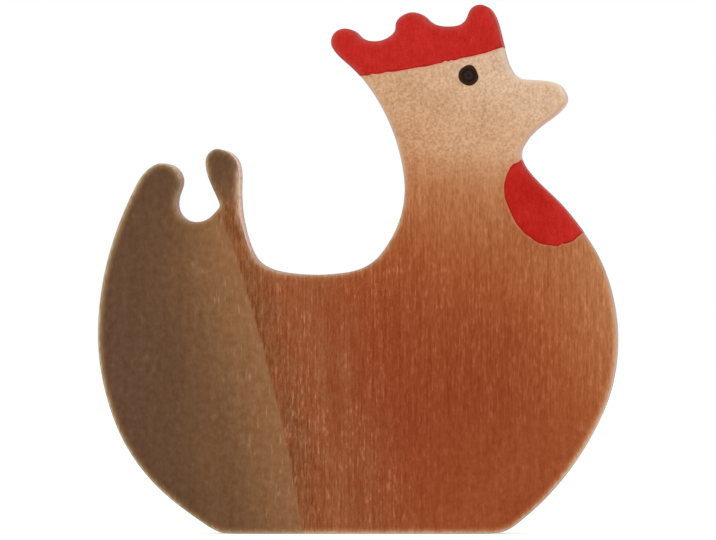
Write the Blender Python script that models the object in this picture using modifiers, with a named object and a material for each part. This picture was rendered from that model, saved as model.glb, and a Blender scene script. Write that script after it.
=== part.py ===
"""Wooden chicken figure: a hen cut from one flat board, with a painted comb, wattle and eyes.

The hen faces +X, its front face looks along -Y and its foot stands on Z = 0.
The outline is drawn in millimetres, clockwise as seen from the front, as arcs and
single points that smooth strokes join. Each arc is held where it has to pass, so a
change of its radius makes that tip blunter or that hollow wider, and leaves it in place.
Drawings are filled in millimetres and then brought to metres, because filling a curve
loses detail smaller than 0.03 units.
"""

from math import acos, atan2, ceil, cos, hypot, pi, radians, sin

import bmesh
import bpy
from mathutils import Matrix

MM = 0.001

# Board
FIGURE_WIDTH = 80.24 * MM
FIGURE_HEIGHT = 81.85 * MM
BOARD_THICKNESS = 18.0 * MM
EDGE_RADIUS = 0.45 * MM

# Paint, which runs round the board's edges on comb and wattle
PAINT_THICKNESS = 0.2 * MM
PAINT_GAP = 0.3 * MM

# Eyes, each a drop of thick paint that sank a little as it dried
EYE_DIAMETER = 3.0 * MM
EYE_HEIGHT = 0.34 * MM
EYE_DIMPLE_DIAMETER = 1.3 * MM
EYE_DIMPLE_DEPTH = 0.1 * MM
EYE_PLACE = (17.4, 70.95)

# Radii of the outline's rounds, in millimetres, from the foot's rear end clockwise
FOOT_REAR_RADIUS = 4.3
TAIL_RADIUS = 28.75
LOBE_SHOULDER_RADIUS = 6.95
LOBE_TIP_RADIUS = 2.85
NOTCH_RADIUS = 2.7
NOTCH_FRONT_RADIUS = 3.1
NOTCH_CORNER_RADIUS = 0.8
FINGER_TIP_RADIUS = 2.05
FINGER_CROWN_RADIUS = 3.2
SADDLE_CORNER_RADIUS = 4.15
SADDLE_RADIUS = 33.0
SADDLE_RISE_RADIUS = 7.3
NECK_RADIUS = 15.3
NAPE_RADIUS = 30.0
COMB_REAR_TIP_RADIUS = 2.0
COMB_REAR_CROWN_RADIUS = 2.45
COMB_REAR_VALLEY_RADIUS = 4.25
COMB_REAR_STEP_RADIUS = 1.8
COMB_MIDDLE_TIP_RADIUS = 2.12
COMB_MIDDLE_CROWN_RADIUS = 3.0
COMB_FRONT_VALLEY_RADIUS = 4.9
COMB_FRONT_STEP_RADIUS = 2.1
COMB_FRONT_TIP_RADIUS = 1.85
BROW_RADIUS = 2.8
BEAK_TOP_RADIUS = 2.55
BEAK_TIP_RADIUS = 1.75
THROAT_RADIUS = 2.92
BREAST_TOP_RADIUS = 42.0
BREAST_RADIUS = 30.0
BREAST_UNDERSIDE_RADIUS = 46.8
FOOT_FRONT_RADIUS = 3.75

# Size of the figure that the places below are drawn for, and where on X its middle lies there
DRAWN_WIDTH = 80.24 * MM
DRAWN_HEIGHT = 81.85 * MM
DRAWN_MIDDLE = 0.12

# How finely curves are cut into facets
FACET_SAG = 0.012
LARGEST_FACET = radians(14)
EDGE_SEGMENTS = 3
EYE_STEPS = 32
EYE_RINGS = 7
PAINT_LINE_RESOLUTION = 5
WELD_DISTANCE = 0.001
CUTTER_MARGIN = 3.0 * MM


def place(x, z):
    """A place on the drawing, stretched to the figure's size, with the middle brought to 0."""
    return (x - DRAWN_MIDDLE) * FIGURE_WIDTH / DRAWN_WIDTH, z * FIGURE_HEIGHT / DRAWN_HEIGHT


def bend(x, z, heading, radius, before, after):
    """An arc by its place, heading, radius and the turns from its ends to that place."""
    vx = cos(radians(heading)) * FIGURE_WIDTH / DRAWN_WIDTH
    vz = sin(radians(heading)) * FIGURE_HEIGHT / DRAWN_HEIGHT
    stretch = hypot(vx, vz)
    turn = stretch / radius if radius else 0.0
    return place(x, z), atan2(vz, vx), radius, -before * turn, after * turn


def through(x, z, heading):
    """A single point of the outline, passed in this heading: 0 degrees is +X and 90 is up."""
    return bend(x, z, heading, 0.0, 0.0, 0.0)


def bulge(x, z, heading, radius, before, after):
    """An arc that turns clockwise, reaching so far before and after the point that it passes."""
    return bend(x, z, heading, -radius, before, after)


def hollow(x, z, heading, radius, before, after):
    """An arc that turns anticlockwise, with its centre outside the figure."""
    return bend(x, z, heading, radius, before, after)


OUTLINE = (
    # Foot and tail
    through(-17.0, 0.0, 180),
    bulge(-20.95, 0.22, 166, FOOT_REAR_RADIUS, 0.60, 0.72),
    through(-23.47, 1.5, 146),
    bulge(-35.1, 12.68, 121.5, TAIL_RADIUS, 5.82, 5.42),
    through(-40.0, 30.8, 90),
    through(-34.5, 53.1, 63.5),
    bulge(-32.8, 55.85, 47, LOBE_SHOULDER_RADIUS, 1.26, 1.26),
    bulge(-28.4, 56.8, -36, LOBE_TIP_RADIUS, 2.38, 2.38),
    through(-27.88, 52.2, -104),
    hollow(-27.3, 49.2, -48, NOTCH_RADIUS, 1.74, 1.58),
    hollow(-23.22, 48.6, 26, NOTCH_FRONT_RADIUS, 0.78, 0.78),
    hollow(-21.16, 50.73, 80, NOTCH_CORNER_RADIUS, 0.36, 0.36),
    through(-21.84, 52.68, 114),
    bulge(-22.92, 58.79, 53, FINGER_TIP_RADIUS, 1.26, 1.29),
    bulge(-19.21, 58.54, -45, FINGER_CROWN_RADIUS, 1.66, 1.74),
    through(-18.2, 53.2, -90),
    through(-17.65, 47.7, -77),
    # Saddle, neck and nape
    hollow(-15.35, 42.15, -45, SADDLE_CORNER_RADIUS, 1.10, 1.10),
    hollow(-6.4, 40.1, 0, SADDLE_RADIUS, 4.14, 4.14),
    hollow(2.05, 41.72, 33, SADDLE_RISE_RADIUS, 1.63, 1.74),
    hollow(6.57, 48.16, 70, NECK_RADIUS, 2.99, 3.21),
    hollow(5.78, 61.94, 110, NAPE_RADIUS, 6.70, 6.70),
    # Comb
    through(-0.5, 72.0, 136),
    bulge(-3.8, 76.65, 75, COMB_REAR_TIP_RADIUS, 1.59, 1.59),
    bulge(-1.0, 78.05, -17, COMB_REAR_CROWN_RADIUS, 0.65, 0.65),
    hollow(2.37, 76.22, -6, COMB_REAR_VALLEY_RADIUS, 1.78, 1.78),
    hollow(5.8, 77.5, 53, COMB_REAR_STEP_RADIUS, 0.48, 0.46),
    bulge(6.52, 79.64, 51, COMB_MIDDLE_TIP_RADIUS, 0.68, 0.86),
    bulge(9.18, 80.63, -9, COMB_MIDDLE_CROWN_RADIUS, 0.79, 0.79),
    hollow(12.7, 78.65, -15, COMB_FRONT_VALLEY_RADIUS, 1.30, 1.30),
    hollow(16.5, 79.02, 38, COMB_FRONT_STEP_RADIUS, 0.65, 0.65),
    bulge(19.18, 81.85, 0, COMB_FRONT_TIP_RADIUS, 1.60, 1.50),
    # Brow, beak and throat
    through(22.13, 77.37, -75),
    through(23.03, 73.8, -75),
    hollow(24.7, 70.84, -35, BROW_RADIUS, 1.14, 1.14),
    through(28.2, 70.2, -5),
    bulge(31.14, 69.6, -32, BEAK_TOP_RADIUS, 0.64, 0.64),
    bulge(32.44, 67.16, -97, BEAK_TIP_RADIUS, 0.86, 0.86),
    through(27.65, 62.55, -138),
    through(26.05, 60.7, -121),
    hollow(25.3, 58.65, -89, THROAT_RADIUS, 0.90, 0.86),
    through(26.35, 56.2, -52),
    through(31.53, 50.93, -46.5),
    # Breast and foot
    bulge(35.09, 46.41, -55.5, BREAST_TOP_RADIUS, 3.22, 3.22),
    bulge(40.24, 29.9, -90, BREAST_RADIUS, 10.06, 6.70),
    bulge(35.48, 13.88, -120.5, BREAST_UNDERSIDE_RADIUS, 4.90, 4.90),
    through(25.56, 2.2, -141),
    bulge(22.95, 0.4, -160.5, FOOT_FRONT_RADIUS, 0.60, 0.60),
    through(17.5, 0.0, -180),
)

# Lower border of the comb's paint, from the air behind the nape to the air before the brow
COMB_PAINT_LINE = (
    (-7.0, 70.4),
    (0.75, 70.95),
    (4.5, 71.3),
    (8.35, 71.9),
    (11.9, 72.5),
    (14.6, 73.3),
    (19.0, 74.3),
    (22.9, 75.4),
    (26.0, 76.2),
)

# Border of the wattle's paint, from the air under the beak round to the air before the breast
WATTLE_PAINT_LINE = (
    (27.6, 58.6),
    (25.65, 57.85),
    (24.3, 56.9),
    (23.45, 55.4),
    (23.1, 53.5),
    (23.3, 51.9),
    (24.1, 50.0),
    (25.4, 47.7),
    (26.8, 46.1),
    (28.4, 45.1),
    (30.35, 44.7),
    (32.5, 45.0),
    (34.0, 45.7),
    (35.2, 46.9),
    (37.0, 49.5),
)

# Colours as seen, 0 to 255, then roughness and metallic
STAINED_WOOD = ((158, 92, 56), 0.55, 0.0)
RED_PAINT = ((190, 38, 30), 0.4, 0.0)
BLACK_PAINT = ((22, 18, 16), 0.2, 0.0)


def outward(heading):
    """The direction that points out of the figure beside this heading."""
    return -sin(heading), cos(heading)


def turning(first, last):
    """The smaller turn from one heading to another."""
    return (last - first + pi) % (2 * pi) - pi


def facet_count(turn, length):
    """How many straight facets an arc of this turn and length needs."""
    radius = length / max(abs(turn), 1e-6)
    step = min(2 * acos(1 - min(FACET_SAG / radius, 1)), LARGEST_FACET)
    return max(1, ceil(abs(turn) / step))


def arc(middle, heading, radius, before, after):
    """Points and outward directions along one arc or single point of the outline."""
    x, z = middle
    nx, nz = outward(heading)
    if not radius:
        return [(x, z, nx, nz)]
    centre = x + radius * nx, z + radius * nz
    turn = after - before
    count = facet_count(turn, abs(turn * radius))
    points = []
    for i in range(count + 1):
        nx, nz = outward(heading + before + turn * i / count)
        points.append((centre[0] - radius * nx, centre[1] - radius * nz, nx, nz))
    return points


def stroke(start, first, end, last):
    """Points between two ends on one cubic curve that leaves and arrives in their headings."""
    dx = end[0] - start[0]
    dz = end[1] - start[1]
    chord = hypot(dx, dz)
    slope = atan2(dz, dx)
    handle = chord / (3 * cos(turning(first, last) / 4) ** 2)
    ends = (
        (start[0], start[1]),
        (start[0] + handle * cos(first), start[1] + handle * sin(first)),
        (end[0] - handle * cos(last), end[1] - handle * sin(last)),
        (end[0], end[1]),
    )
    count = facet_count(abs(turning(first, slope)) + abs(turning(slope, last)), chord)
    points = []
    for i in range(1, count):
        t = i / count
        shares = (1 - t) ** 3, 3 * t * (1 - t) ** 2, 3 * t**2 * (1 - t), t**3
        speeds = -((1 - t) ** 2), (1 - t) * (1 - 3 * t), t * (2 - 3 * t), t**2
        x = sum(share * point[0] for share, point in zip(shares, ends))
        z = sum(share * point[1] for share, point in zip(shares, ends))
        vx = sum(speed * point[0] for speed, point in zip(speeds, ends))
        vz = sum(speed * point[1] for speed, point in zip(speeds, ends))
        length = hypot(vx, vz)
        points.append((x, z, -vz / length, vx / length))
    return points


def outline_points(grow):
    """The closed outline moved outwards by grow, all in millimetres."""
    arcs = [arc(*feature) for feature in OUTLINE]
    points = []
    for i, (_, heading, _, _, after) in enumerate(OUTLINE):
        following = (i + 1) % len(OUTLINE)
        _, next_heading, _, next_before, _ = OUTLINE[following]
        points += arcs[i]
        points += stroke(arcs[i][-1], heading + after, arcs[following][0], next_heading + next_before)
    return [(x + grow * nx, z + grow * nz) for x, z, nx, nz in points]


def collection_named(name):
    collection = bpy.data.collections.new(name)
    bpy.context.scene.collection.children.link(collection)
    return collection


def material_named(name, finish):
    """A plain material of this finish, its colour turned from screen values to light values."""
    colour, roughness, metallic = finish
    linear = [((c / 255 + 0.055) / 1.055) ** 2.4 for c in colour]
    material = bpy.data.materials.new(name)
    material.use_nodes = True
    shader = material.node_tree.nodes["Principled BSDF"]
    shader.inputs["Base Color"].default_value = (*linear, 1.0)
    shader.inputs["Roughness"].default_value = roughness
    shader.inputs["Metallic"].default_value = metallic
    return material


def upright_plate(name, curve, thickness, collection):
    """A mesh object from a flat curve in millimetres, stood up in the XZ plane, in metres."""
    curve.dimensions = "2D"
    curve.fill_mode = "BOTH"
    curve.extrude = thickness / 2 / MM
    drawing = bpy.data.objects.new(name + "_drawing", curve)
    collection.objects.link(drawing)
    graph = bpy.context.evaluated_depsgraph_get()
    mesh = bpy.data.meshes.new_from_object(drawing.evaluated_get(graph))
    bpy.data.objects.remove(drawing)
    bpy.data.curves.remove(curve)
    mesh.name = name

    solid = bmesh.new()
    solid.from_mesh(mesh)
    bmesh.ops.remove_doubles(solid, verts=solid.verts, dist=WELD_DISTANCE)
    flat_faces = [face for face in solid.faces if abs(face.normal.z) > 0.5]
    bmesh.ops.dissolve_faces(solid, faces=flat_faces)
    bmesh.ops.recalc_face_normals(solid, faces=solid.faces)
    solid.transform(Matrix.Rotation(pi / 2, 4, "X") @ Matrix.Scale(MM, 4))
    solid.to_mesh(mesh)
    solid.free()
    plate = bpy.data.objects.new(name, mesh)
    collection.objects.link(plate)
    return plate


def board(name, grow, collection):
    """The hen's board with rounded edges, every surface of it moved outwards by grow."""
    points = outline_points(grow / MM)
    curve = bpy.data.curves.new(name, "CURVE")
    spline = curve.splines.new("POLY")
    spline.points.add(len(points) - 1)
    for point, (x, z) in zip(spline.points, points):
        point.co = (x, z, 0.0, 1.0)
    spline.use_cyclic_u = True
    plate = upright_plate(name, curve, BOARD_THICKNESS + 2 * grow, collection)
    rounding = plate.modifiers.new("Rounded edges", "BEVEL")
    rounding.width = EDGE_RADIUS + grow
    rounding.segments = EDGE_SEGMENTS
    rounding.limit_method = "ANGLE"
    rounding.angle_limit = radians(60)
    rounding.use_clamp_overlap = False
    plate.data.shade_smooth()
    plate.data.set_sharp_from_angle(angle=radians(40))
    return plate


def paint_zone(name, line, corners, collection):
    """A block through the whole board, inside a smooth painted border and straight outer sides."""
    curve = bpy.data.curves.new(name, "CURVE")
    curve.resolution_u = PAINT_LINE_RESOLUTION
    spline = curve.splines.new("BEZIER")
    spline.bezier_points.add(len(line) + len(corners) - 1)
    for i, (point, (x, z)) in enumerate(zip(spline.bezier_points, line + corners)):
        point.co = (*place(x, z), 0.0)
        smooth = 0 < i < len(line) - 1
        point.handle_left_type = "AUTO" if smooth else "VECTOR"
        point.handle_right_type = "AUTO" if smooth else "VECTOR"
    spline.use_cyclic_u = True
    return upright_plate(name, curve, BOARD_THICKNESS + 2 * CUTTER_MARGIN, collection)


def use_as_cutter(cutter):
    cutter.hide_render = True
    cutter.display_type = "WIRE"
    return cutter


def paint_coat(name, zone, inner, material, collection):
    """A skin of paint over the board inside a zone, front, edge and back in one piece."""
    coat = board(name, PAINT_GAP + PAINT_THICKNESS, collection)
    inside = coat.modifiers.new("Inside the painted border", "BOOLEAN")
    inside.operation = "INTERSECT"
    inside.object = zone
    hollowed = coat.modifiers.new("Room for the wood", "BOOLEAN")
    hollowed.operation = "DIFFERENCE"
    hollowed.object = inner
    coat.data.materials.append(material)
    return coat


def eye_profile():
    """The drop's half section from its middle over the crown to the rim and back to the axis."""
    radius = EYE_DIAMETER / 2
    points = []
    for i in range(2 * EYE_RINGS + 1):
        angle = pi / 2 * i / (2 * EYE_RINGS)
        r = radius * sin(angle)
        sunk = max(0.0, cos(min(r * pi / EYE_DIMPLE_DIAMETER, pi / 2)))
        points.append((r, EYE_HEIGHT * cos(angle) - EYE_DIMPLE_DEPTH * sunk**2))
    return points + [(0.0, 0.0)]


def painted_eye(name, side, material, collection):
    """One eye on the face that side points to: -1 is the front face and 1 the back."""
    profile = eye_profile()
    mesh = bpy.data.meshes.new(name)
    edges = [(i, i + 1) for i in range(len(profile) - 1)]
    mesh.from_pydata([(r, 0.0, z) for r, z in profile], edges, [])
    eye = bpy.data.objects.new(name, mesh)
    x, z = place(*EYE_PLACE)
    eye.location = (x * MM, side * (BOARD_THICKNESS / 2 + PAINT_GAP), z * MM)
    eye.rotation_euler.x = -side * pi / 2
    collection.objects.link(eye)
    turned = eye.modifiers.new("Turned drop", "SCREW")
    turned.steps = EYE_STEPS
    turned.render_steps = EYE_STEPS
    turned.use_merge_vertices = True
    turned.merge_threshold = WELD_DISTANCE * MM
    turned.use_smooth_shade = True
    eye.data.materials.append(material)
    return eye


def build():
    for old in list(bpy.data.objects):
        bpy.data.objects.remove(old)
    figure = collection_named("wooden_chicken_figure")
    cutters = collection_named("cutters")
    red = material_named("red_paint", RED_PAINT)
    black = material_named("black_paint", BLACK_PAINT)

    body = board("wooden_body", 0.0, figure)
    body.data.materials.append(material_named("stained_wood", STAINED_WOOD))

    wood_room = use_as_cutter(board("wood_room", PAINT_GAP, cutters))
    above_comb = (DRAWN_HEIGHT + CUTTER_MARGIN) / MM
    comb_corners = ((COMB_PAINT_LINE[-1][0], above_comb), (COMB_PAINT_LINE[0][0], above_comb))
    comb_zone = use_as_cutter(paint_zone("comb_zone", COMB_PAINT_LINE, comb_corners, cutters))
    wattle_zone = use_as_cutter(paint_zone("wattle_zone", WATTLE_PAINT_LINE, (), cutters))

    parts = [
        paint_coat("comb_paint", comb_zone, wood_room, red, figure),
        paint_coat("wattle_paint", wattle_zone, wood_room, red, figure),
        painted_eye("eye_front", -1, black, figure),
        painted_eye("eye_back", 1, black, figure),
    ]
    bpy.context.view_layer.update()
    for part in parts:
        part.parent = body
        part.matrix_parent_inverse = body.matrix_world.inverted()


build()
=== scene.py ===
"""Wooden chicken figure: the looks of a hen cut from one board, stained, sprayed and painted.

Places and sizes named _MM are in millimetres, and everything that is built is in metres.
X runs towards the beak, the front face looks along -Y and the foot stands on Z = 0.
"""

from math import ceil, cos, pi, radians, sin
from types import SimpleNamespace

import bmesh
import bpy
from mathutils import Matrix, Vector
from mathutils.kdtree import KDTree


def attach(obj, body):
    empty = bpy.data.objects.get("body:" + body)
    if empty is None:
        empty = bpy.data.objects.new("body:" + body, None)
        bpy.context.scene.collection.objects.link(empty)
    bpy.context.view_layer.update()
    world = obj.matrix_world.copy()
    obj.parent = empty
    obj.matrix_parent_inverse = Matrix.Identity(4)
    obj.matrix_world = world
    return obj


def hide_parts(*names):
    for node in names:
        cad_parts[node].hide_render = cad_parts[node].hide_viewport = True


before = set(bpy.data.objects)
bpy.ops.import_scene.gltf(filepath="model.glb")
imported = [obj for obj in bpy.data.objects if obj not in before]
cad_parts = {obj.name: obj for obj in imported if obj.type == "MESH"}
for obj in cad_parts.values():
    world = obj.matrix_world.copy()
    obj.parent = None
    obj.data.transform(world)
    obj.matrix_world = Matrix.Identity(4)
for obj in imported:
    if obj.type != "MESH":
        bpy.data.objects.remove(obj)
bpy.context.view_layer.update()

MM = 0.001

# Points of a mesh that lie closer than this are joined
MERGE_DISTANCE = 0.001 * MM

# Places that lie closer than this count as the same
SAME_PLACE = 0.01 * MM

# A face lies flat on the front or back if its normal has more than this share along Y
FLAT_ENOUGH = 0.99

# Board
HALF_THICKNESS = 9.0 * MM
EDGE_RADIUS = 0.45 * MM
EDGE_STEPS = 6
SQUARE_SIZE = 1.0 * MM
CUTS_BY_THE_PAINT = 3
FLAT_FACE_WEIGHT = 80

# The frame's outline goes in flat steps. Those shorter than this lie on its curves
LONGEST_CURVED_STEP = 3.0 * MM
CUTS_OF_A_STEP = 2

# Film of paint. A rise of 1 lays all of it on the wood, and -1 sinks all of it
FILM_THICKNESS = 0.05 * MM
FILM_RISE = 0.6
FILM_SQUARE_SIZE = 0.7 * MM
ZONE_OVERHANG = 2.0 * MM
BORDER_RESOLUTION = 4
NEAR_BORDER = 1.0 * MM

# Steps between the points on a line that distances are measured from
LINE_STEP = 0.05 * MM
BORDER_STEP = 0.2 * MM

# The X at which the places on the drawing below have the figure's middle
DRAWN_MIDDLE_MM = 0.12

# Lower border of the comb's paint and border of the wattle's paint, as X and Z, with the
# small jags that the brush left
COMB_BORDER_MM = (
    (-7.0, 70.4), (0.7, 70.9), (2.05, 71.0), (2.4, 71.2), (2.95, 71.15), (4.3, 71.35),
    (4.5, 71.45), (5.6, 71.5), (6.95, 71.7), (8.3, 71.95), (9.6, 72.2), (10.65, 72.3),
    (11.2, 72.4), (11.75, 72.55), (12.55, 72.75), (13.25, 72.9), (13.8, 73.2), (14.2, 73.1),
    (14.7, 73.3), (15.1, 73.25), (16.1, 73.55), (17.0, 73.75), (17.9, 73.9), (19.1, 74.2),
    (20.1, 74.45), (21.7, 75.0), (22.75, 75.3), (26.0, 76.1),
)
COMB_CORNERS_MM = ((26.0, 85.0), (-7.0, 85.0))
WATTLE_BORDER_MM = (
    (27.6, 58.6), (25.6, 57.95), (25.05, 57.5), (24.4, 57.25), (24.15, 57.05), (23.85, 56.7),
    (23.6, 56.15), (23.3, 55.5), (23.1, 54.8), (22.95, 54.2), (22.9, 53.5), (22.95, 52.7),
    (23.05, 51.9), (23.45, 50.85), (23.85, 49.9), (24.55, 48.45), (24.95, 47.8), (25.55, 47.1),
    (26.1, 46.5), (26.9, 45.95), (27.9, 45.2), (29.0, 44.8), (30.1, 44.65), (31.2, 44.55),
    (31.6, 44.75), (31.95, 44.95), (32.35, 44.9), (33.0, 45.1), (33.7, 45.4), (34.25, 45.95),
    (34.8, 46.4), (37.0, 49.5),
)

# Eyes
EYE_MIDDLE_MM = (17.4, 70.95)
EYE_SUNK = 0.01 * MM
EYE_RIM_HEIGHT = 0.07 * MM
EYE_SMOOTHINGS = 2

# Radius of the eye's dab in 20 directions, from +X anticlockwise as seen from the front
EYE_RADII_MM = (
    1.54, 1.40, 1.47, 1.57, 1.70, 1.65, 1.56, 1.53, 1.60, 1.57,
    1.62, 1.65, 1.61, 1.58, 1.60, 1.64, 1.68, 1.63, 1.63, 1.64,
)

# Rings of the eye's dab from its rim inwards: how far in each lies and how far it rises
EYE_RINGS_MM = (
    (0.12, 0.07), (0.25, 0.07), (0.4, 0.04), (0.2, -0.01), (0.22, -0.05), (0.15, -0.02),
)

# Camera: a long lens, level and almost square to the front face
LENS_MM = 1200.0
SENSOR_MM = 36.0
VIEW_WIDTH = 110.77 * MM
VIEW_MIDDLE = Vector((0.17, -9.0, 40.83)) * MM
VIEW_TURN = radians(1.7)
NEAREST_SEEN = 0.1
FARTHEST_SEEN = 20.0

# Room: the floor's width, the floor's own glow where it is seen, and the strength of the
# white room, as light on things and as it is seen
FLOOR_WIDTH = 12.0
FLOOR_GLOW = 0.55
ROOM_LIGHT = 0.7
ROOM_SEEN = 1.0
WHITE = (1.0, 1.0, 1.0, 1.0)
FLOOR_GREY = (0.9, 0.9, 0.9, 1.0)

# Lamps: place, width and power in watts
LAMPS = {
    "key_lamp": ((-0.7, -0.9, 0.8), 0.7, 4.5),
    "fill_lamp": ((0.9, -1.0, 0.4), 0.8, 1.5),
    "back_lamp": ((0.2, 1.2, 0.7), 0.8, 2.0),
}

# What a screen raises a colour's values to when it shows them
SCREEN_GAMMA = 2.2


# Modelling helpers


def take(piece):
    """Makes a piece the only selected one and the one that is worked on."""
    if bpy.context.object and bpy.context.object.mode != "OBJECT":
        bpy.ops.object.mode_set(mode="OBJECT")
    bpy.ops.object.select_all(action="DESELECT")
    piece.select_set(True)
    bpy.context.view_layer.objects.active = piece


def edit(piece):
    """Opens a piece in edit mode with nothing selected."""
    take(piece)
    bpy.ops.object.mode_set(mode="EDIT")
    bpy.ops.mesh.select_all(action="DESELECT")


def close_edit():
    bpy.ops.object.mode_set(mode="OBJECT")


def select(kind, test):
    """Selects the faces, edges or verts of the open mesh that pass a test, and nothing else."""
    kinds = ("verts", "edges", "faces")
    bpy.context.tool_settings.mesh_select_mode = [kind == each for each in kinds]
    bpy.ops.mesh.select_all(action="DESELECT")
    mesh = bpy.context.object.data
    drawing = bmesh.from_edit_mesh(mesh)
    for part in getattr(drawing, kind):
        if test(part):
            part.select_set(True)
    bmesh.update_edit_mesh(mesh)


def turn_outwards():
    """Turns every face of the open mesh outwards."""
    bpy.ops.mesh.select_all(action="SELECT")
    bpy.ops.mesh.normals_make_consistent(inside=False)


def apply_modifier(piece, name, kind, **settings):
    take(piece)
    modifier = piece.modifiers.new(name, kind)
    for setting, value in settings.items():
        setattr(modifier, setting, value)
    bpy.ops.object.modifier_apply(modifier=modifier.name)


def copy_of(piece, name):
    """A new piece with its own copy of another piece's mesh."""
    copy = bpy.data.objects.new(name, piece.data.copy())
    copy.data.name = name
    bpy.context.scene.collection.objects.link(copy)
    return copy


def depth_span(face):
    """How far a face reaches through the board's thickness."""
    depths = [vert.co.y for vert in face.verts]
    return max(depths) - min(depths)


def is_cap(face):
    """Whether a face lies flat on the board's front or back."""
    return depth_span(face) < MERGE_DISTANCE and abs(face.normal.y) > FLAT_ENOUGH


def is_arris(edge):
    """Whether an edge lies between the board's wall and its front or back."""
    depths = [vert.co.y for vert in edge.verts]
    shallower = min(abs(depth) for depth in depths)
    return depths[0] * depths[1] > 0.0 and shallower > HALF_THICKNESS - SAME_PLACE


def cut_caps_into_squares(size):
    """Cuts the flat front and back of the open mesh along a square grid."""
    verts = bmesh.from_edit_mesh(bpy.context.object.data).verts
    for axis in (0, 2):
        low = min(vert.co[axis] for vert in verts)
        high = max(vert.co[axis] for vert in verts)
        across = Vector((axis == 0, 0.0, axis == 2))
        for step in range(ceil(low / size), ceil(high / size)):
            select("faces", is_cap)
            bpy.ops.mesh.bisect(
                plane_co=across * step * size,
                plane_no=across,
                threshold=MERGE_DISTANCE,
            )


def write_attribute(piece, name, values):
    attribute = piece.data.attributes.new(name, "FLOAT", "POINT")
    attribute.data.foreach_set("value", values)


def tree_of(points):
    """These X, Z places in a form that finds the nearest one quickly."""
    tree = KDTree(len(points))
    for i, (x, z) in enumerate(points):
        tree.insert((x, 0.0, z), i)
    tree.balance()
    return tree


def how_far(place, tree):
    return tree.find((place.x, 0.0, place.z))[2]


def distances_to(piece, path):
    """The distance of each vertex of a piece from a closed path, as seen from the front, in mm."""
    tree = tree_of(dense(path, LINE_STEP))
    return [how_far(vert.co, tree) / MM for vert in piece.data.vertices]


def is_inside(place, path):
    """Whether a place lies inside a closed path, as seen from the front."""
    inside = False
    for (x1, z1), (x2, z2) in zip(path, path[1:] + path[:1]):
        if (z1 > place.z) != (z2 > place.z):
            if place.x < x1 + (x2 - x1) * (place.z - z1) / (z2 - z1):
                inside = not inside
    return inside


def distances_outside(piece, paths):
    """The distance of each vertex from the nearest painted area in mm, below 0 under the paint."""
    fields = []
    for path in paths:
        tree = tree_of(dense(path, LINE_STEP))
        field = []
        for vert in piece.data.vertices:
            far = how_far(vert.co, tree)
            covered = far < 2 * NEAR_BORDER and is_inside(vert.co, path)
            field.append(-far if covered else far)
        fields.append(field)
    return [min(values) / MM for values in zip(*fields)]


def dense(path, step):
    """Points at small steps along a closed path of X, Z places."""
    points = []
    for start, end in zip(path, path[1:] + path[:1]):
        line = Vector(end) - Vector(start)
        count = max(1, ceil(line.length / step))
        points += [Vector(start) + line * i / count for i in range(count)]
    return points


# The board


def sawn_board(name):
    """The board with its curves cut finer and its arrises sanded round.

    Of the frame's own board only the wall is kept. It is drawn out to the full thickness,
    closed with a front and a back, and gets its round arrises again in finer steps.
    """
    board = copy_of(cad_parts["wooden_body"], name)
    board.data.materials.clear()
    edit(board)
    bpy.ops.mesh.select_all(action="SELECT")
    bpy.ops.mesh.remove_doubles(threshold=MERGE_DISTANCE)
    bpy.ops.mesh.tris_convert_to_quads()
    select("faces", lambda face: depth_span(face) < HALF_THICKNESS)
    bpy.ops.mesh.delete(type="FACE")
    turn_outwards()
    select("edges", lambda edge: edge.is_boundary and edge.calc_length() < LONGEST_CURVED_STEP)
    bpy.ops.mesh.subdivide(number_cuts=CUTS_OF_A_STEP, smoothness=1.0)
    for side in (-1, 1):
        select("edges", lambda edge: edge.is_boundary and edge.verts[0].co.y * side > 0)
        bpy.ops.mesh.edge_face_add()
        bpy.ops.transform.translate(value=(0.0, side * EDGE_RADIUS, 0.0))
    turn_outwards()
    select("edges", is_arris)
    bpy.ops.mesh.bevel(
        offset=EDGE_RADIUS,
        segments=EDGE_STEPS,
        profile=0.5,
        affect="EDGES",
        clamp_overlap=False,
    )
    close_edit()
    return board


def outline_of(board):
    """The corners of the board's wall in order round the figure, as X, Z places."""
    verts = board.data.vertices
    wall_starts = -HALF_THICKNESS + EDGE_RADIUS
    nexts = {}
    for edge in board.data.edges:
        a, b = edge.vertices
        if all(abs(verts[i].co.y - wall_starts) < SAME_PLACE for i in (a, b)):
            nexts.setdefault(a, []).append(b)
            nexts.setdefault(b, []).append(a)
    start = next(iter(nexts))
    path = [start]
    last = None
    here = start
    while True:
        onward = [other for other in nexts[here] if other != last]
        if not onward or onward[0] == start:
            break
        last = here
        here = onward[0]
        path.append(here)
    return [(verts[i].co.x, verts[i].co.z) for i in path]


# The paint


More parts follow.
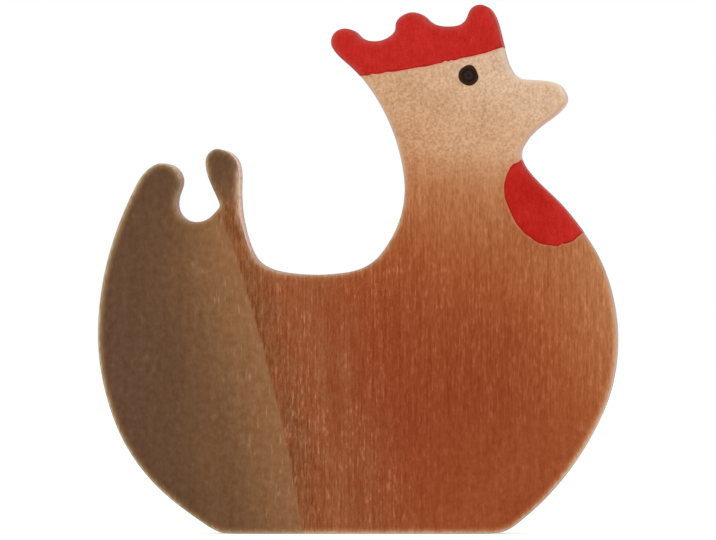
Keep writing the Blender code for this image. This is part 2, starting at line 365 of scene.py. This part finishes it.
def painted_zone(name, border, corners):
    """A block through the whole board inside a smooth painted border, and that border's points."""
    drawing = bpy.data.curves.new(name, "CURVE")
    drawing.dimensions = "2D"
    drawing.resolution_u = BORDER_RESOLUTION
    spline = drawing.splines.new("BEZIER")
    spline.bezier_points.add(len(border) + len(corners) - 1)
    for i, (point, (x, z)) in enumerate(zip(spline.bezier_points, border + corners)):
        point.co = (x - DRAWN_MIDDLE_MM, z, 0.0)
        handle = "AUTO" if 0 < i < len(border) - 1 else "VECTOR"
        point.handle_left_type = handle
        point.handle_right_type = handle
    spline.use_cyclic_u = True
    zone = bpy.data.objects.new(name, drawing)
    bpy.context.scene.collection.objects.link(zone)
    take(zone)
    bpy.ops.object.convert(target="MESH")
    zone.rotation_euler.x = pi / 2
    zone.scale = (MM, MM, MM)
    zone.location.y = -HALF_THICKNESS - ZONE_OVERHANG
    bpy.ops.object.transform_apply(location=True, rotation=True, scale=True)
    points = [(vert.co.x, vert.co.z) for vert in zone.data.vertices]
    edit(zone)
    bpy.ops.mesh.select_all(action="SELECT")
    bpy.ops.mesh.edge_face_add()
    bpy.ops.mesh.extrude_region_move(
        TRANSFORM_OT_translate={"value": (0.0, 2 * (HALF_THICKNESS + ZONE_OVERHANG), 0.0)}
    )
    turn_outwards()
    close_edit()
    return zone, points


def paint_film(name, border, corners, finish):
    """A thin film of paint on the board inside a border: front, edge and back in one piece.

    The zone's own material marks the faces that it cuts through the board, so that they
    can be taken away before the film gets its thickness.
    """
    film = sawn_board(name)
    zone, points = painted_zone(name + "_zone", border, corners)
    cut = bpy.data.materials.new("cut")
    film.data.materials.append(finish)
    zone.data.materials.append(cut)
    apply_modifier(
        film,
        "Inside the border",
        "BOOLEAN",
        operation="INTERSECT",
        object=zone,
        solver="EXACT",
        material_mode="TRANSFER",
    )
    bpy.data.objects.remove(zone)
    cut_index = film.data.materials.find("cut")
    edit(film)
    select("faces", lambda face: face.material_index == cut_index)
    bpy.ops.mesh.delete(type="FACE")
    close_edit()
    bpy.data.materials.remove(cut)
    film.data.materials.clear()
    film.data.materials.append(finish)
    apply_modifier(
        film,
        "Thickness of the paint",
        "SOLIDIFY",
        thickness=FILM_THICKNESS,
        offset=FILM_RISE,
        use_even_offset=False,
        use_rim=True,
    )
    edit(film)
    turn_outwards()
    cut_caps_into_squares(FILM_SQUARE_SIZE)
    close_edit()
    return film, points


def finish_normals(piece):
    """Shades a piece smoothly, led by its large flat faces."""
    take(piece)
    bpy.ops.object.shade_smooth()
    apply_modifier(
        piece,
        "Even shading",
        "WEIGHTED_NORMAL",
        keep_sharp=False,
        weight=FLAT_FACE_WEIGHT,
    )


# Materials


class Value:
    """One output in a material; sums with it become Math nodes."""

    def __init__(self, finish, socket):
        self.finish = finish
        self.socket = socket

    def maths(self, operation, *values):
        return self.finish.node("Math", {"operation": operation}, dict(enumerate(values)))

    def __add__(self, other):
        return self.maths("ADD", self, other)

    def __sub__(self, other):
        return self.maths("SUBTRACT", self, other)

    def __rsub__(self, other):
        return self.maths("SUBTRACT", other, self)

    def __mul__(self, other):
        return self.maths("MULTIPLY", self, other)

    def __truediv__(self, other):
        return self.maths("DIVIDE", self, other)

    def __rtruediv__(self, other):
        return self.maths("DIVIDE", other, self)

    def __pow__(self, other):
        return self.maths("POWER", self, other)

    def __abs__(self):
        return self.maths("ABSOLUTE", self)

    __radd__ = __add__
    __rmul__ = __mul__

    def at_least(self, other):
        return self.maths("MAXIMUM", self, other)

    def at_most(self, other):
        return self.maths("MINIMUM", self, other)

    def rise(self, low, high):
        """0 below low, 1 above high and a smooth step between; a falling step if high is lower."""
        if low > high:
            return 1 - self.rise(high, low)
        return self.finish.node(
            "MapRange",
            {"interpolation_type": "SMOOTHSTEP"},
            {"Value": self, "From Min": low, "From Max": high},
        )


class Finish:
    """The nodes of a material, or of the room's light."""

    def __init__(self, owner):
        owner.use_nodes = True
        self.tree = owner.node_tree
        self.tree.nodes.clear()

    def node(self, kind, settings={}, values={}, output=None):
        """Adds a node: its settings come first, then its sockets' values or links."""
        node = self.tree.nodes.new("ShaderNode" + kind)
        for name, setting in settings.items():
            if name == "stops":
                self.set_stops(node.color_ramp, setting)
            else:
                setattr(node, name, setting)
        inputs = [socket for socket in node.inputs if socket.enabled]
        named = {socket.name: socket for socket in inputs}
        for name, value in values.items():
            socket = inputs[name] if isinstance(name, int) else named[name]
            if isinstance(value, Value):
                self.tree.links.new(value.socket, socket)
            else:
                socket.default_value = value
        outputs = [socket for socket in node.outputs if socket.enabled]
        if output is None:
            return Value(self, outputs[0]) if outputs else node
        return Value(self, {socket.name: socket for socket in outputs}[output])

    def set_stops(self, ramp, stops):
        while len(ramp.elements) < len(stops):
            ramp.elements.new(1.0)
        for element, (position, colour) in zip(ramp.elements, stops):
            element.position = position
            element.color = colour

    def attribute(self, name):
        return self.node("Attribute", {"attribute_name": name}, output="Fac")

    def place_mm(self):
        """Where a point is on the object, in millimetres."""
        place = self.node("TexCoord", output="Object")
        return self.vector("SCALE", place, Scale=1 / MM)

    def vector(self, operation, *vectors, **named):
        values = dict(enumerate(vectors))
        values.update(named)
        return self.node("VectorMath", {"operation": operation}, values)

    def parts(self, vector):
        """The X, Y and Z of a vector."""
        return [self.node("SeparateXYZ", {}, {0: vector}, axis) for axis in "XYZ"]

    def point(self, x, y, z):
        return self.node("CombineXYZ", {}, {0: x, 1: y, 2: z})

    def grain(self, vector, scale, detail=2.0, roughness=0.5):
        """A noise pattern, from 0 to 1, whose marks are about 1 / scale wide."""
        values = {"Vector": vector, "Scale": scale, "Detail": detail, "Roughness": roughness}
        return self.node("TexNoise", {}, values)

    def drawn_grain(self, vector, scales, detail=2.0, roughness=0.5):
        """A noise pattern drawn out along the axes, with a scale for each of X, Y and Z."""
        return self.grain(self.vector("MULTIPLY", vector, scales), 1.0, detail, roughness)

    def ramp(self, value, stops):
        """The colour at a value, on a row of colours as seen on a screen."""
        colours = tuple((position, screen(*colour)) for position, colour in stops)
        return self.node("ValToRGB", {"stops": colours}, {"Fac": value}, "Color")

    def curve(self, value, points):
        """A value that follows straight lines between points of a position and a height."""
        low, high = points[0][0], points[-1][0]
        share = (value - low) * (1 / (high - low))
        stops = tuple(((p - low) / (high - low), (h, h, h, 1.0)) for p, h in points)
        return self.node("ValToRGB", {"stops": stops}, {"Fac": share}, "Color")

    def mix(self, share, first, second):
        values = {"Factor": share, "A": first, "B": second}
        return self.node("Mix", {"data_type": "RGBA"}, values)

    def bump(self, height, strength, distance_mm):
        values = {"Strength": strength, "Distance": distance_mm * MM, "Height": height}
        return self.node("Bump", {}, values)

    def light_value(self, colour):
        """Turns a colour from screen values to light values."""
        return self.node("Gamma", {}, {"Color": colour, "Gamma": SCREEN_GAMMA})

    def surface(self, **values):
        """The shader itself; a socket's name has _ for each space."""
        named = {name.replace("_", " "): value for name, value in values.items()}
        shader = self.node("BsdfPrincipled", {}, named)
        self.node("OutputMaterial", {}, {"Surface": shader})

    def seen_directly(self):
        """1 on what is seen, also in gloss or through glass, and 0 on what only sheds light."""
        rays = ("Is Camera Ray", "Is Glossy Ray", "Is Transmission Ray")
        camera, glossy, through = [self.node("LightPath", output=ray) for ray in rays]
        return (camera + glossy + through).at_most(1.0)


def screen(red, green, blue):
    """A colour as it is seen on a screen, from 0 to 255, as shares of full light."""
    return (red / 255, green / 255, blue / 255, 1.0)


# The wood's finish

# How strongly the stain shows at each height, and at each X from the middle to the breast
STAIN_BY_HEIGHT = (
    (0.0, 0.77), (4.0, 0.84), (9.0, 0.91), (18.0, 1.0), (30.0, 0.95), (38.0, 0.84), (43.0, 0.72),
    (48.0, 0.56), (50.0, 0.50), (53.0, 0.40), (54.0, 0.36), (55.0, 0.31), (56.0, 0.255),
    (57.0, 0.185), (58.0, 0.125), (59.0, 0.075), (62.0, 0.05), (66.0, 0.02), (71.0, 0.0),
)
STAIN_BY_SIDE = (
    (8.0, 1.0), (18.0, 0.87), (24.0, 0.80), (30.0, 0.71), (36.0, 0.52), (41.0, 0.38),
)

# Colours from the thinnest stain to the strongest, and from the thinnest spray to the thickest
STAIN_COLOURS = (
    (0.0, (209, 166, 130)),
    (0.15, (198, 145, 105)),
    (0.35, (186, 121, 79)),
    (0.52, (174, 103, 63)),
    (0.70, (163, 87, 49)),
    (0.85, (154, 76, 41)),
    (1.0, (147, 68, 36)),
)
SPRAY_COLOURS = (
    (0.0, (149, 104, 70)),
    (0.15, (142, 100, 66)),
    (0.25, (135, 95, 62)),
    (0.35, (127, 90, 60)),
    (0.5, (117, 83, 56)),
    (0.68, (105, 75, 53)),
    (1.0, (100, 72, 52)),
)

# How far the rubbed arris and its painted highlight lighten the face beside it, by the distance
# from the outline
RUB_AND_HIGHLIGHT_BY_INSET = (
    (0.0, 1.0), (0.08, 0.92), (0.23, 0.64), (0.39, 0.48), (0.54, 0.33), (0.70, 0.20),
    (0.85, 0.10), (1.1, 0.0),
)


def wood_marks(f, place):
    """The patterns in the wood and its colours. They lie about 0, or from 0 to 1 where noted."""
    elsewhere = f.vector("ADD", f.vector("MULTIPLY", place, (3.6, 3.6, 0.5)), (31.7, 4.1, 8.3))
    return SimpleNamespace(
        # Fibres and bands of the wood; long pores and short dashes from 0 to 1
        fibre=f.drawn_grain(place, (3.7, 3.7, 0.75), 2.0, 0.6) - 0.5,
        wide_fibre=f.drawn_grain(place, (1.6, 1.6, 0.2)) - 0.5,
        band=f.drawn_grain(place, (0.9, 0.9, 0.06)) - 0.5,
        pores=f.drawn_grain(place, (3.3, 3.3, 0.10), 1.0),
        dash=f.drawn_grain(place, (2.6, 2.6, 0.85), 1.0),
        # Slow wandering and short ripples, so that no border is ruled, and patches of stain
        wander=f.drawn_grain(place, (0.12, 0.12, 0.05), 1.0) - 0.5,
        ripple=f.drawn_grain(place, (0.5, 0.5, 0.35)) - 0.5,
        patches=f.drawn_grain(place, (0.22, 0.22, 0.14)) - 0.5,
        # Livelier stretches of grain, and pale flecks, both from 0 to 1
        stretch=f.drawn_grain(place, (0.17, 0.17, 0.12)).rise(0.40, 0.60),
        fleck=f.grain(elsewhere, 1.0, 1.0).rise(0.60, 0.85),
        # Specks, round mottles and soft clouds
        speck=f.grain(f.vector("ADD", place, (7.3, 2.9, 5.1)), 5.0, 1.0) - 0.5,
        mottle=f.grain(place, 2.6, 2.0, 0.6) - 0.5,
        cloud=f.drawn_grain(place, (1.1, 1.1, 0.9), 2.0, 0.6) - 0.5,
    )


def places_on_hen(x, z):
    """How far a point belongs to each named place of the figure, from 0 to 1."""
    return SimpleNamespace(
        head=z.rise(50.0, 61.0) * x.rise(-8.0, -2.0),
        brow_shade=z.rise(70.0, 74.0) * x.rise(12.0, 18.0),
        under_beak=z.rise(69.0, 66.0) * x.rise(19.0, 22.0),
        nape=x.rise(18.0, 8.0) * z.rise(68.0, 62.0) * z.rise(55.0, 59.0),
        throat=x.rise(20.0, 28.0) * z.rise(42.0, 46.0) * z.rise(54.0, 50.0),
        chest=x.rise(24.0, 30.0) * z.rise(34.0, 42.0) * z.rise(56.0, 54.0),
        breast=x.rise(22.0, 30.0) * z.rise(24.0, 32.0),
        belly=x.rise(12.0, 18.0) * x.rise(30.0, 24.0) * z.rise(16.0, 22.0) * z.rise(38.0, 32.0),
        heel=x.rise(20.0, 25.0) * z.rise(9.0, 4.0),
        back=x.rise(15.0, 9.0) * z.rise(34.0, 38.0),
        saddle=x.rise(-20.0, -17.5) * x.rise(4.0, 2.0) * z.rise(37.0, 39.0) * z.rise(50.0, 45.0),
        notch=x.rise(-30.0, -28.0) * x.rise(-20.5, -22.0) * z.rise(57.0, 54.0) * z.rise(44.0, 47.0),
        finger=z.rise(48.6, 50.2) * x.rise(-24.0, -23.0),
        finger_side=x.rise(-21.0, -19.0) * x.rise(-12.0, -15.0) * z.rise(42.0, 45.0),
        fingertip=x.rise(-25.0, -23.5) * x.rise(-15.0, -17.0) * z.rise(55.5, 57.5),
    )


def stained_body(f, x, z, at, marks):
    """The orange-red stain of the body, which fades out into the bare wood of the head."""
    forward = (x + (z.at_most(70.0) - 66.0) * 1.8).rise(10.0, 32.0)
    pale = f.mix(forward, screen(207, 161, 124), screen(224, 186, 153))
    # Painted shade on the bare wood just under the comb
    pale = f.mix(at.brow_shade * 0.25, pale, screen(202, 171, 146))

    # From 0 for no stain on the head to 1 for the full stain
    across = 1 - f.curve(x, STAIN_BY_SIDE)
    height = z + marks.ripple * 1.6 + (x.at_most(16.0) - 16.0) * 0.13 * z.rise(52.0, 58.0)
    stain = f.curve(height, STAIN_BY_HEIGHT) * (1 - across * (0.5 + z.rise(6.0, 38.0) * 0.5))
    stain = stain + at.nape * 0.055 + at.belly * 0.07 + at.throat * 0.06 + at.heel * 0.10
    stained = f.ramp(stain + marks.patches * 0.10, STAIN_COLOURS)
    return f.mix(stain.rise(0.0, 0.12), pale, stained)


def tail_line(z, marks):
    """The X of the slanted line where the tail's spray was masked, which turns on the finger."""
    line = -8.05 - z * 0.255 + z * (50.0 - z) * 0.0016 + (z - 49.0).at_least(0.0) * 1.3
    return line + marks.wander * 0.8 + marks.ripple * 0.25


def sprayed_tail(f, z, past, at, marks):
    """The tail's brown spray, which is thicker the further it lies past the line."""
    upper = z.rise(40.0, 48.0)
    low_rear = z.rise(28.0, 12.0) * past.rise(9.0, 15.0)
    thick = past * (1 + upper * 0.35) / 20.0 + marks.patches * 0.10
    return f.ramp(thick + at.finger * 0.26 - low_rear * 0.14, SPRAY_COLOURS)


def oversprayed(f, body, x, z, right, marks):
    """The body with spray that drifted past the line: a thin mist, and a darker edge near it."""
    behind = z.rise(58.0, 48.0)
    mist = right.rise(22.0, 6.0) * (0.55 + marks.ripple * 0.8) * behind
    drift = right.rise(6.5, 0.0) * (0.62 + marks.ripple * 0.9 - z.rise(16.0, 4.0) * 0.34) * behind
    drift = drift.at_least(z.rise(43.0, 46.5) * x.rise(-15.8, -17.4) * 0.85)
    body = f.mix(mist, body, screen(154, 98, 64))
    return f.mix(drift, body, screen(126, 79, 46))


def wood_grain(x, z, past, right, on_tail, at, marks):
    """How much lighter or darker its marks make the wood."""
    # Fibres and dashes of the body, in livelier and calmer stretches
    lively = marks.stretch * (1 - x.rise(0.0, 14.0) * 0.5)
    calm = x.rise(2.0, 18.0) * z.rise(24.0, 12.0)
    soft = x.rise(2.0, 14.0)
    near_line = right.rise(9.0, 1.0) * (1 - on_tail)
    fine = 0.16 + lively * 0.05 + near_line * 0.12 + z.rise(42.0, 50.0) * 0.08
    fine = fine + at.breast * 0.03 - calm * 0.11
    streaks = marks.fibre * fine + (marks.pores - 0.5) * (0.09 - calm * 0.06)
    dashes = marks.pores.rise(0.44, 0.62) * marks.dash.rise(0.52, 0.70)
    dashes = dashes * (1 - calm * 0.4 - soft * 0.45)
    streaks = streaks + dashes * (0.06 + lively * 0.06) * (1 - z.rise(40.0, 48.0) * 0.7)
    blotch = (marks.dash - 0.5) * (soft * 0.07 - calm * 0.03) + marks.cloud * calm * 0.13
    on_body = streaks + marks.speck * (0.09 - soft * 0.05) + blotch - 0.008

    # Soft clouds and pale flecks of the tail's spray
    spray = 0.155 - past.rise(8.0, 14.0) * 0.035 - z.rise(40.0, 48.0) * 0.03
    flecks = marks.fleck * past.rise(12.0, 3.0) * 0.12
    on_spray = marks.cloud * spray + marks.fibre * 0.03 + flecks - 0.004

    # Round mottles and dark specks of the head's bare wood
    dark_specks = marks.speck.rise(0.10, 0.22) * 0.05
    on_bare = marks.mottle.at_most(0.13) * 0.38 + marks.fibre * 0.07 + marks.patches * 0.10
    on_bare = on_bare - dark_specks + 0.003

    grain = on_body + on_tail * (on_spray - on_body)
    grain = grain + at.head * (on_bare - grain)
    return grain + marks.band * 0.05


def rubbed_and_highlit_wood(f, x, z, inset, on_tail, at):
    """The arris's rubbed wood and painted highlight: greyer over the back, paler on the head and
    foot.
    """
    deep = inset.rise(0.2, 0.5)
    neck = z.rise(50.0, 58.0)
    # Paler low down, as painted light from the floor
    tan = f.mix(z.rise(18.0, 6.0), screen(214, 166, 132), screen(218, 192, 166))
    tan = f.mix(deep, tan, screen(206, 148, 104))
    grey = f.mix(neck, screen(190, 164, 144), screen(206, 184, 166))
    grey = f.mix(deep, grey, f.mix(neck, screen(190, 138, 98), screen(208, 166, 130)))
    # Greyer over the back, as painted shade on its upward arrises
    tan = f.mix(at.back, tan, grey)
    head = f.mix(x.rise(28.0, 32.0), screen(232, 210, 186), screen(246, 226, 202))
    head = f.mix(at.under_beak, head, screen(222, 182, 152))
    tan = f.mix(at.head * x.rise(10.0, 15.0), tan, head)
    tan = f.mix(on_tail, tan, f.mix(deep, screen(194, 175, 148), screen(176, 138, 90)))
    finger_edge = at.finger_side * x.rise(-20.0, -18.8) * (1 - at.fingertip)
    return f.mix(finger_edge, tan, screen(222, 186, 162))


def rubbed_and_highlit(f, colour, x, z, inset, on_tail, at, marks):
    """The colour with its arrises rubbed thin and given a painted highlight, less so in the hollows
    and on the chest.
    """
    hollow = at.saddle * 0.1 + at.saddle * at.finger_side * 0.5 + at.notch * 0.5
    hollow = hollow + at.chest * 0.5 + at.finger_side * 0.1 + at.fingertip * 0.4
    broken = 1.1 + marks.ripple * 0.9 + (marks.fibre * 1.5 + marks.dash - 0.5) * (1 - at.head)
    rub_and_highlight = f.curve(inset, RUB_AND_HIGHLIGHT_BY_INSET) * broken * (1 - hollow.at_most(0.8))
    # Painted light from the floor on the foot's lower edge
    floor_light_on_foot = z.rise(1.1, 0.3) * (1 - on_tail * 0.5)
    rub_and_highlight = rub_and_highlight.at_least(0.0) + floor_light_on_foot * 0.18
    colour = f.mix(rub_and_highlight, colour, rubbed_and_highlit_wood(f, x, z, inset, on_tail, at))
    # A painted highlight along the tail's broadly rounded rear edge
    tail_edge_highlight = inset.rise(1.3, 0.1) * x.rise(-30.0, -36.0) * z.rise(10.0, 45.0)
    return f.mix(tail_edge_highlight * 0.28, colour, screen(186, 160, 128))


def sawn_wall(f, place, y, z, face, reach, on_tail, at, marks):
    """The wall: wood with its growth and the saw's marks, under a mist of the face's colour.
    The finger's bare wall gets painted light, and every wall painted shade towards the back.
    """
    growth = f.drawn_grain(place, (0.45, 0.9, 0.05), 3.0) - 0.5
    paler = 0.5 + growth * 2.2 + marks.fibre * 1.6
    wood = f.mix(paler, screen(224, 184, 160), screen(244, 213, 196))
    # The finger's wall is bare wood, painted almost white towards the front as painted light
    lit_bare_wood = f.mix(y.rise(-8.0, 3.0), screen(254, 232, 208), screen(232, 200, 190))
    wood = f.mix(at.finger_side, wood, lit_bare_wood)
    saw_marks = f.drawn_grain(place, (0.5, 0.13, 1.7), 1.0).rise(0.52, 0.68)
    wood = f.mix(saw_marks * (0.08 + at.finger_side * 0.22), wood, screen(168, 108, 92))
    mist = (0.50 - reach.rise(1.5, 6.0) * 0.12 + marks.ripple * 0.4) * (1 - at.finger_side * 0.9)
    mist = mist * (1 - at.head * 0.5) * (1 - on_tail * 0.6) * (1 - z.rise(34.0, 14.0) * 0.55)
    in_notch = on_tail * at.notch * (y.rise(-4.0, -9.0) * 0.25)
    mist = mist + (at.chest * 0.3 + in_notch) * (1 - at.finger_side)
    wall = f.mix(mist, wood, face)
    # Painted shade that darkens the wall towards the back
    back_shade = y.rise(1.0, 8.5) * (0.30 - at.head * 0.2 - on_tail * 0.15)
    return f.mix(back_shade, wall, screen(150, 122, 106))


def wood_finish():
    wood = bpy.data.materials.new("stained_wood")
    f = Finish(wood)
    place = f.place_mm()
    x, y, z = f.parts(place)
    x = x + DRAWN_MIDDLE_MM
    inset = f.attribute("inset")
    from_paint = f.attribute("from_paint")
    marks = wood_marks(f, place)
    at = places_on_hen(x, z)

    # The faces, with the tail past its line
    line = tail_line(z, marks)
    past = line - x
    right = x - line
    blur = z.rise(45.0, 50.0) * 1.6
    on_tail = (past / (1 + blur * 5.0) + marks.wide_fibre * blur).rise(-0.15, 0.25)
    body = oversprayed(f, stained_body(f, x, z, at, marks), x, z, right, marks)
    face = f.mix(on_tail, body, sprayed_tail(f, z, past, at, marks))
    grain = wood_grain(x, z, past, right, on_tail, at, marks)
    colour = f.vector("ADD", face, f.point(grain, grain, grain))
    colour = rubbed_and_highlit(f, colour, x, z, inset, on_tail, at, marks)

    # The wall, by the depth below the faces
    depth = HALF_THICKNESS / MM - abs(y)
    reach = depth + marks.ripple * 1.5
    wall = sawn_wall(f, place, y, z, face, reach, on_tail, at, marks)
    colour = f.mix(reach.rise(0.2, 1.0), colour, wall)

    # A faint pink halo where the red paint's thinner crept past its border
    halo = from_paint.rise(0.42, 0.12) * (0.24 + at.head * 0.20 + marks.ripple * 0.6)
    colour = f.mix(halo, colour, screen(238, 136, 118))

    relief = marks.fibre * (1 - at.head * 0.85) * 0.6 + marks.mottle * (0.3 - at.head * 0.22)
    f.surface(
        Base_Color=f.light_value(colour),
        Roughness=0.62 + marks.mottle * 0.2,
        Specular_IOR_Level=0.12,
        Normal=f.bump(relief, 0.5, 0.03),
    )
    return wood


# The paints' finishes


def red_finish():
    red = bpy.data.materials.new("red_paint")
    f = Finish(red)
    place = f.place_mm()
    x, y, z = f.parts(place)
    inset = f.attribute("inset")
    from_border = f.attribute("from_border")

    # Brushed red, which is thicker and deeper on the wattle
    brush = f.drawn_grain(place, (2.6, 2.6, 0.9)) - 0.5
    cloud = f.grain(place, 0.5) - 0.5
    speck = f.grain(place, 3.2, 2.0, 0.6) - 0.5
    tone = brush * 0.11 + cloud * 0.09 + speck * 0.12
    thick = z.rise(60.0, 54.0) * x.rise(34.0, 27.0) * 0.8
    colour = f.mix(thick, screen(194, 44, 38), screen(184, 37, 29))
    colour = f.vector("ADD", colour, f.point(tone, tone * 0.7, tone * 0.7))

    # Pale dots where the paint missed a pore, and a painted highlight on the arris
    dots = f.grain(f.vector("ADD", place, (3.7, 9.1, 1.3)), 2.6, 1.0).rise(0.70, 0.80)
    colour = f.mix(dots * 0.5, colour, screen(226, 100, 78))
    upward = z.rise(60.0, 70.0) * x.rise(20.0, 18.0)
    arris_highlight = f.mix(upward, screen(196, 108, 98), screen(184, 120, 112))
    rub_and_highlight = f.curve(inset, RUB_AND_HIGHLIGHT_BY_INSET)
    colour = f.mix(rub_and_highlight * (0.36 + upward * 0.14), colour, arris_highlight)

    # A darker line along the border: thicker paint, and painted shade at the film's edge
    line = from_border.rise(0.34, 0.06)
    colour = f.mix(line * (0.30 + cloud * 0.8), colour, screen(140, 22, 20))

    # The wall, where the end grain takes the paint unevenly, darkened towards the back by painted
    # shade
    depth = HALF_THICKNESS / MM - abs(y)
    on_wall = depth.rise(0.3, 1.2)
    wall = f.mix(0.5 + brush * 1.6, screen(184, 36, 32), screen(206, 56, 50))
    colour = f.mix(on_wall, colour, wall)
    colour = f.mix(y.rise(3.0, 9.0) * on_wall * 0.4, colour, screen(140, 28, 34))
    f.surface(
        Base_Color=f.light_value(colour),
        Roughness=0.55 + brush * 0.2,
        Specular_IOR_Level=0.05,
        Normal=f.bump(brush + cloud, 0.4, 0.05),
    )
    return red


def black_finish():
    black = bpy.data.materials.new("black_paint")
    f = Finish(black)
    place = f.place_mm()
    x, _, z = f.parts(place)
    across = x - (EYE_MIDDLE_MM[0] - DRAWN_MIDDLE_MM)
    up = z - EYE_MIDDLE_MM[1]
    from_middle = (across * across + up * up) ** 0.5
    cloud = f.grain(place, 2.5, 3.0) - 0.5
    tone = cloud * 0.05
    colour = f.vector("ADD", screen(41, 29, 24)[:3], f.point(tone, tone, tone))

    # A drop dries from its rim: the rim is thin and brown. The paler ring inside is a painted
    # reflection on the rim of the drop's dimple
    ring_reflection = from_middle.rise(0.08, 0.34) * from_middle.rise(0.82, 0.52)
    colour = f.mix(ring_reflection * (0.85 + cloud * 1.5), colour, screen(54, 46, 46))
    thin = (from_middle + cloud * 0.3).rise(0.92, 1.32)
    colour = f.mix(thin, colour, screen(62, 40, 25))
    f.surface(
        Base_Color=f.light_value(colour),
        Roughness=0.35 + cloud * 0.2,
        Specular_IOR_Level=0.04,
        Normal=f.bump(cloud, 0.3, 0.03),
    )
    return black


# The eyes


def painted_eye(name, side, finish):
    """A dab of black paint on the face that side points to: -1 is the front and 1 the back."""
    x, z = EYE_MIDDLE_MM
    middle = Vector(((x - DRAWN_MIDDLE_MM) * MM, side * (HALF_THICKNESS - EYE_SUNK), z * MM))
    bpy.ops.object.select_all(action="DESELECT")
    bpy.ops.mesh.primitive_circle_add(
        vertices=len(EYE_RADII_MM),
        radius=MM,
        fill_type="NGON",
        location=middle,
        rotation=(pi / 2, 0.0, 0.0),
    )
    eye = bpy.context.object
    eye.name = name
    eye.data.name = name
    bpy.ops.object.transform_apply(location=True, rotation=True, scale=True)
    edit(eye)
    for i, radius in enumerate(EYE_RADII_MM):
        turn = 2 * pi * i / len(EYE_RADII_MM)
        out = Vector((cos(turn), 0.0, sin(turn)))
        corner = middle + out * MM
        select("verts", lambda vert: (vert.co - corner).length < SAME_PLACE)
        bpy.ops.transform.translate(value=out * (radius - 1.0) * MM)
    bpy.ops.mesh.select_all(action="SELECT")
    bpy.ops.mesh.extrude_region_move(
        TRANSFORM_OT_translate={"value": (0.0, side * EYE_RIM_HEIGHT, 0.0)}
    )
    for inset, rise in EYE_RINGS_MM:
        bpy.ops.mesh.inset(thickness=inset * MM)
        bpy.ops.transform.translate(value=(0.0, side * rise * MM, 0.0))
    turn_outwards()
    close_edit()
    apply_modifier(
        eye,
        "Smooth drop",
        "SUBSURF",
        levels=EYE_SMOOTHINGS,
        render_levels=EYE_SMOOTHINGS,
    )
    take(eye)
    bpy.ops.object.shade_smooth()
    eye.data.materials.append(finish)
    return eye


# Making the pieces

board = sawn_board("stained_board")
outline = outline_of(board)
red = red_finish()
black = black_finish()

comb, comb_points = paint_film("comb_film", COMB_BORDER_MM, COMB_CORNERS_MM, red)
wattle, wattle_points = paint_film("wattle_film", WATTLE_BORDER_MM, (), red)
for film, points in ((comb, comb_points), (wattle, wattle_points)):
    write_attribute(film, "from_border", distances_to(film, points))
    write_attribute(film, "inset", distances_to(film, outline))
    finish_normals(film)

# The board's mesh is finest beside the paint, where its halo shows
borders = tree_of(dense(comb_points, BORDER_STEP) + dense(wattle_points, BORDER_STEP))


def is_by_the_paint(face):
    return is_cap(face) and how_far(face.calc_center_median(), borders) < NEAR_BORDER


edit(board)
cut_caps_into_squares(SQUARE_SIZE)
select("faces", is_by_the_paint)
bpy.ops.mesh.subdivide(number_cuts=CUTS_BY_THE_PAINT)
close_edit()
write_attribute(board, "inset", distances_to(board, outline))
write_attribute(board, "from_paint", distances_outside(board, (comb_points, wattle_points)))
finish_normals(board)
board.data.materials.append(wood_finish())

eye_front = painted_eye("eye_front_dab", -1, black)
eye_back = painted_eye("eye_back_dab", 1, black)

for piece, node, slot in (
    (board, "wooden_body", "stained_wood"),
    (comb, "comb_paint", "red_paint"),
    (wattle, "wattle_paint", "red_paint"),
    (eye_front, "eye_front", "black_paint"),
    (eye_back, "eye_back", "black_paint"),
):
    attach(piece, "root")
    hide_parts(node)


# Floor, light and camera


def floor_finish():
    """A pale floor that is white where it is seen, and that keeps the figure's shadow."""
    plain = bpy.data.materials.new("white_floor")
    f = Finish(plain)
    glow = f.seen_directly() * FLOOR_GLOW
    matt = f.node("BsdfDiffuse", {}, {"Color": FLOOR_GREY})
    light = f.node("Emission", {}, {"Color": WHITE, "Strength": glow})
    both = f.node("AddShader", {}, {0: matt, 1: light})
    f.node("OutputMaterial", {}, {"Surface": both})
    return plain


def light_room(name):
    """A white room all round, dimmer as light on things than it is seen."""
    room = bpy.data.worlds.new(name)
    f = Finish(room)
    strength = ROOM_LIGHT + f.seen_directly() * (ROOM_SEEN - ROOM_LIGHT)
    air = f.node("Background", {}, {"Color": WHITE, "Strength": strength})
    f.node("OutputWorld", {}, {"Surface": air})
    bpy.context.scene.world = room


def soft_lamp(name, place, width, power):
    """A square lamp that faces the figure's middle."""
    lamp = bpy.data.lights.new(name, "AREA")
    lamp.size = width
    lamp.energy = power
    stand = bpy.data.objects.new(name, lamp)
    stand.location = place
    stand.rotation_mode = "QUATERNION"
    stand.rotation_quaternion = (Vector(place) - VIEW_MIDDLE).to_track_quat("Z", "Y")
    stand.visible_camera = False
    bpy.context.scene.collection.objects.link(stand)


bpy.ops.object.select_all(action="DESELECT")
bpy.ops.mesh.primitive_plane_add(size=FLOOR_WIDTH)
floor = bpy.context.object
floor.name = "floor"
floor.data.materials.append(floor_finish())

light_room("white_room")
for name, (place, width, power) in LAMPS.items():
    soft_lamp(name, place, width, power)

bpy.context.scene.view_settings.view_transform = "Standard"

lens = bpy.data.cameras.new("camera")
lens.lens = LENS_MM
lens.sensor_width = SENSOR_MM
lens.clip_start = NEAREST_SEEN
lens.clip_end = FARTHEST_SEEN
camera = bpy.data.objects.new("camera", lens)
view_distance = VIEW_WIDTH * LENS_MM / SENSOR_MM
camera.location = VIEW_MIDDLE + view_distance * Vector((sin(VIEW_TURN), -cos(VIEW_TURN), 0.0))
camera.rotation_euler = (pi / 2, 0.0, VIEW_TURN)
bpy.context.scene.collection.objects.link(camera)
bpy.context.scene.camera = camera
